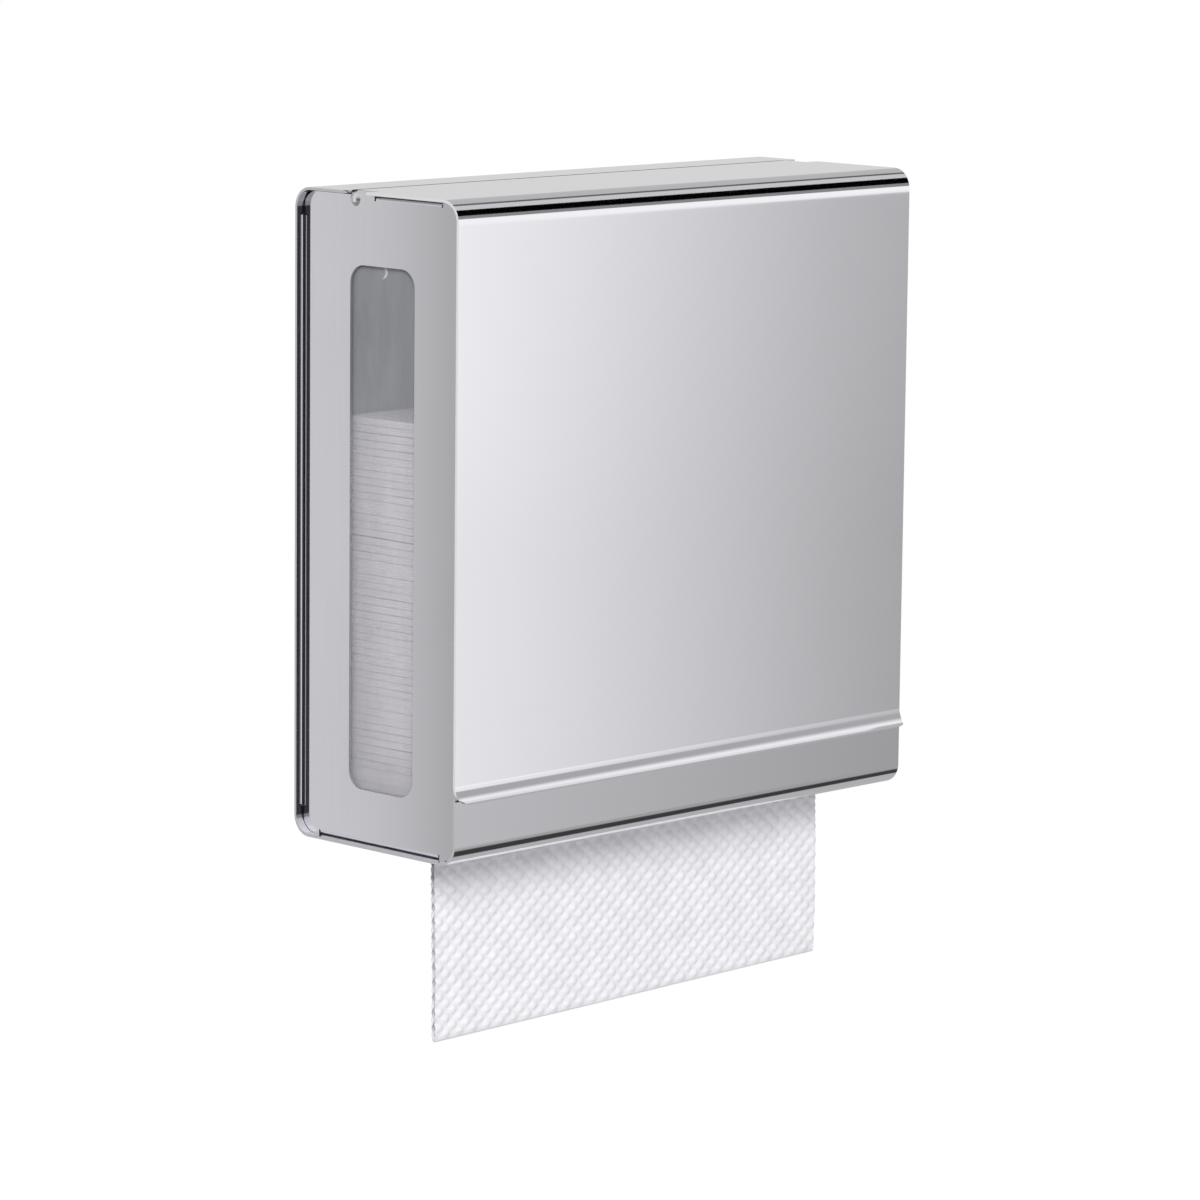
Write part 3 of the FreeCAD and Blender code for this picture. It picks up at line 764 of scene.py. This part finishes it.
# Hardened spring strip for the push-on clips: grey, with a dull sheen and short rolling lines
def makeSpringSteel():
    look = springFinish
    material, tree, output = newMaterial("spring_steel")
    lines = addNode(tree, "ShaderNodeTexNoise", inputs={
        "Vector": millimetres(tree, look["lines"]), "Scale": 1.0, "Detail": 4.0, "Roughness": 0.65})
    tone = addNode(tree, "ShaderNodeValToRGB", inputs={0: lines.outputs[0]})
    for stop, place, colour in zip(tone.color_ramp.elements, look["span"], look["tones"]):
        stop.position = place
        stop.color = linear(colour)
    roughness = addNode(tree, "ShaderNodeMapRange", inputs={
        "Value": lines.outputs[0], "From Min": look["span"][0], "From Max": look["span"][1],
        "To Min": look["roughness"][0], "To Max": look["roughness"][1]})
    bump = addNode(tree, "ShaderNodeBump", inputs={
        "Height": lines.outputs[0], "Distance": look["height"]})
    shader = addNode(tree, "ShaderNodeBsdfPrincipled", inputs={
        "Base Color": tone.outputs[0], "Metallic": 1.0, "Roughness": roughness.outputs[0],
        "Normal": bump.outputs[0]})
    tree.links.new(shader.outputs[0], output.inputs["Surface"])
    return material


nylonFinish = {
    "tones": ("#ddd9cc", "#eae7de"),
    "span": (0.3, 0.7),
    "roughness": 0.45,
    "speck": 0.4,  # millimetres
    "height": 1.0e-5,
    "ior": 1.53,
    "depth": (0.0012, 0.0010, 0.0008),  # that light goes in, for red, green and blue
    "depthShare": 0.25,
}


# Natural nylon washers, turned from rod: ivory, waxy, slightly see-through at their edges
def makeNylon():
    look = nylonFinish
    material, tree, output = newMaterial("natural_nylon")
    speck = addNode(tree, "ShaderNodeTexNoise", inputs={
        "Vector": millimetres(tree), "Scale": 1 / look["speck"], "Detail": 4.0, "Roughness": 0.6})
    tone = addNode(tree, "ShaderNodeValToRGB", inputs={0: speck.outputs[0]})
    for stop, place, colour in zip(tone.color_ramp.elements, look["span"], look["tones"]):
        stop.position = place
        stop.color = linear(colour)
    bump = addNode(tree, "ShaderNodeBump", inputs={
        "Height": speck.outputs[0], "Distance": look["height"]})
    shader = addNode(tree, "ShaderNodeBsdfPrincipled", inputs={
        "Base Color": tone.outputs[0], "Roughness": look["roughness"], "IOR": look["ior"],
        "Subsurface Weight": look["depthShare"], "Subsurface Radius": look["depth"],
        "Normal": bump.outputs[0]})
    tree.links.new(shader.outputs[0], output.inputs["Surface"])
    return material


foamFinish = {
    "tones": ("#101011", "#2c2c2e"),
    "span": (0.1, 0.7),
    "roughness": 0.92,
    "cell": 0.5,  # millimetres
    "height": 6.0e-5,
}


# Closed-cell foam tape: matt black, its cut side pocked by half-millimetre cells
def makeFoam():
    look = foamFinish
    material, tree, output = newMaterial("closed_cell_foam")
    cells = addNode(tree, "ShaderNodeTexVoronoi", inputs={
        "Vector": millimetres(tree), "Scale": 1 / look["cell"]})
    tone = addNode(tree, "ShaderNodeValToRGB", inputs={0: cells.outputs["Distance"]})
    for stop, place, colour in zip(tone.color_ramp.elements, look["span"], look["tones"]):
        stop.position = place
        stop.color = linear(colour)
    bump = addNode(tree, "ShaderNodeBump", inputs={
        "Height": cells.outputs["Distance"], "Distance": look["height"]})
    shader = addNode(tree, "ShaderNodeBsdfPrincipled", inputs={
        "Base Color": tone.outputs[0], "Roughness": look["roughness"], "Normal": bump.outputs[0]})
    tree.links.new(shader.outputs[0], output.inputs["Surface"])
    return material


rubberFinish = {
    "tones": ("#1c1c1d", "#2d2d2f"),
    "span": (0.35, 0.7),
    "roughness": (0.62, 0.80),
    "grain": 0.2,  # millimetres
    "height": 2.0e-5,
    "bloom": 2.5,  # millimetres
    "ior": 1.52,
}


# Moulded rubber dots: near-black with a fine spark-eroded texture and a little bloom
def makeRubber():
    look = rubberFinish
    material, tree, output = newMaterial("moulded_rubber")
    grain = addNode(tree, "ShaderNodeTexNoise", inputs={
        "Vector": millimetres(tree), "Scale": 1 / look["grain"], "Detail": 3.0, "Roughness": 0.6})
    bloom = addNode(tree, "ShaderNodeTexNoise", inputs={
        "Vector": millimetres(tree), "Scale": 1 / look["bloom"], "Detail": 2.0})
    tone = addNode(tree, "ShaderNodeValToRGB", inputs={0: bloom.outputs[0]})
    for stop, place, colour in zip(tone.color_ramp.elements, look["span"], look["tones"]):
        stop.position = place
        stop.color = linear(colour)
    roughness = addNode(tree, "ShaderNodeMapRange", inputs={
        "Value": bloom.outputs[0], "From Min": look["span"][0], "From Max": look["span"][1],
        "To Min": look["roughness"][0], "To Max": look["roughness"][1]})
    bump = addNode(tree, "ShaderNodeBump", inputs={
        "Height": grain.outputs[0], "Distance": look["height"]})
    shader = addNode(tree, "ShaderNodeBsdfPrincipled", inputs={
        "Base Color": tone.outputs[0], "Roughness": roughness.outputs[0], "IOR": look["ior"],
        "Normal": bump.outputs[0]})
    tree.links.new(shader.outputs[0], output.inputs["Surface"])
    return material


acrylicFinish = {
    "colour": "#e8eaf0",  # of the haze
    "veil": (0.25, 0.31),  # its share over what lies behind
    "through": "#fbf9f9",
    "roughness": (0.10, 0.22),
    "wipes": 0.12,  # to a millimetre, and drawn out along Z by "stretch"
    "stretch": (1, 1, 0.25),
    "span": (0.3, 0.7),
    "ior": 1.49,
}


# Clear cast acrylic, wiped many times: it lets the light through, under a faint milky haze and a gloss
def makeAcrylic():
    look = acrylicFinish
    material, tree, output = newMaterial("clear_acrylic")
    wipes = addNode(tree, "ShaderNodeTexNoise", inputs={
        "Vector": millimetres(tree, look["stretch"]), "Scale": look["wipes"], "Detail": 4.0,
        "Roughness": 0.55})
    haze = addNode(tree, "ShaderNodeMapRange", inputs={
        "Value": wipes.outputs[0], "From Min": look["span"][0], "From Max": look["span"][1],
        "To Min": look["veil"][0], "To Max": look["veil"][1]})
    gloss = addNode(tree, "ShaderNodeFresnel", inputs={"IOR": look["ior"]})
    both = addNode(tree, "ShaderNodeMath", {"operation": "ADD"}, {
        0: haze.outputs[0], 1: gloss.outputs[0]})
    back = addNode(tree, "ShaderNodeNewGeometry").outputs["Backfacing"]
    front = addNode(tree, "ShaderNodeMath", {"operation": "SUBTRACT"}, {0: 1.0, 1: back})
    share = addNode(tree, "ShaderNodeMath", {"operation": "MULTIPLY"}, {
        0: both.outputs[0], 1: front.outputs[0]})
    roughness = addNode(tree, "ShaderNodeMapRange", inputs={
        "Value": wipes.outputs[0], "From Min": look["span"][0], "From Max": look["span"][1],
        "To Min": look["roughness"][0], "To Max": look["roughness"][1]})
    body = addNode(tree, "ShaderNodeBsdfPrincipled", inputs={
        "Base Color": linear(look["colour"]), "Roughness": roughness.outputs[0], "IOR": look["ior"]})
    clear = addNode(tree, "ShaderNodeBsdfTransparent", inputs={"Color": linear(look["through"])})
    pane = addNode(tree, "ShaderNodeMixShader", inputs={
        0: share.outputs[0], 1: clear.outputs[0], 2: body.outputs[0]})
    tree.links.new(pane.outputs[0], output.inputs["Surface"])
    return material


paperFinish = {
    "tones": ("#e8e7ec", "#f5f4f8"),
    "span": (0.36, 0.62),
    "roughness": 0.95,
    "fibre": 0.35,  # millimetres
    "curl": 1.2,
    "height": 3.0e-5,
    "cloud": 9.0,  # millimetres
    "cloudShare": 0.5,
    "ior": 1.45,
}


# Bleached tissue paper: matt, a little cloudy, with short fibres lying every way
def makePaper():
    look = paperFinish
    material, tree, output = newMaterial("embossed_tissue")
    fibres = addNode(tree, "ShaderNodeTexNoise", inputs={
        "Vector": millimetres(tree), "Scale": 1 / look["fibre"], "Detail": 4.0, "Roughness": 0.7,
        "Distortion": look["curl"]})
    clouds = addNode(tree, "ShaderNodeTexNoise", inputs={
        "Vector": millimetres(tree), "Scale": 1 / look["cloud"], "Detail": 3.0, "Roughness": 0.55})
    mixed = addNode(tree, "ShaderNodeMix", {"data_type": "FLOAT"}, {
        0: look["cloudShare"], 2: fibres.outputs[0], 3: clouds.outputs[0]})
    tone = addNode(tree, "ShaderNodeValToRGB", inputs={0: mixed.outputs[0]})
    for stop, place, colour in zip(tone.color_ramp.elements, look["span"], look["tones"]):
        stop.position = place
        stop.color = linear(colour)
    bump = addNode(tree, "ShaderNodeBump", inputs={
        "Height": fibres.outputs[0], "Distance": look["height"], "Strength": 0.8})
    shader = addNode(tree, "ShaderNodeBsdfPrincipled", inputs={
        "Base Color": tone.outputs[0], "Roughness": look["roughness"], "IOR": look["ior"],
        "Normal": bump.outputs[0]})
    tree.links.new(shader.outputs[0], output.inputs["Surface"])
    return material


def dress(material, *names):
    for name in names:
        node = nodes[name]
        node.data.materials.clear()
        node.data.materials.append(material)


def bothSides(name):
    return [name + "_left", name + "_right"]


dress(makeSteel("polished_stainless", "case"), "wall_shell")
dress(makeSteel("polished_stainless_door", "door"), "door")
dress(makeSteel("polished_stainless_panel", "panel"), *bothSides("side_panel"))
dress(makePinSteel(), *bothSides("hinge_pin"))
dress(makeSpringSteel(), *bothSides("pin_clip"))
dress(makeNylon(), *bothSides("hinge_washer"))
dress(makeFoam(), *bothSides("pane_tape"))
dress(makeRubber(), *bothSides("door_bumper_lower"), *bothSides("door_bumper_upper"))
dress(makeAcrylic(), *bothSides("window_pane"))
tissue = makePaper()
dress(tissue, "towel_stack", "leading_towel")
for piece in (hangingPiece, stackPiece):
    piece.data.materials.clear()
    piece.data.materials.append(tissue)
print("materials ready")

bpy.context.scene.view_settings.view_transform = "Standard"
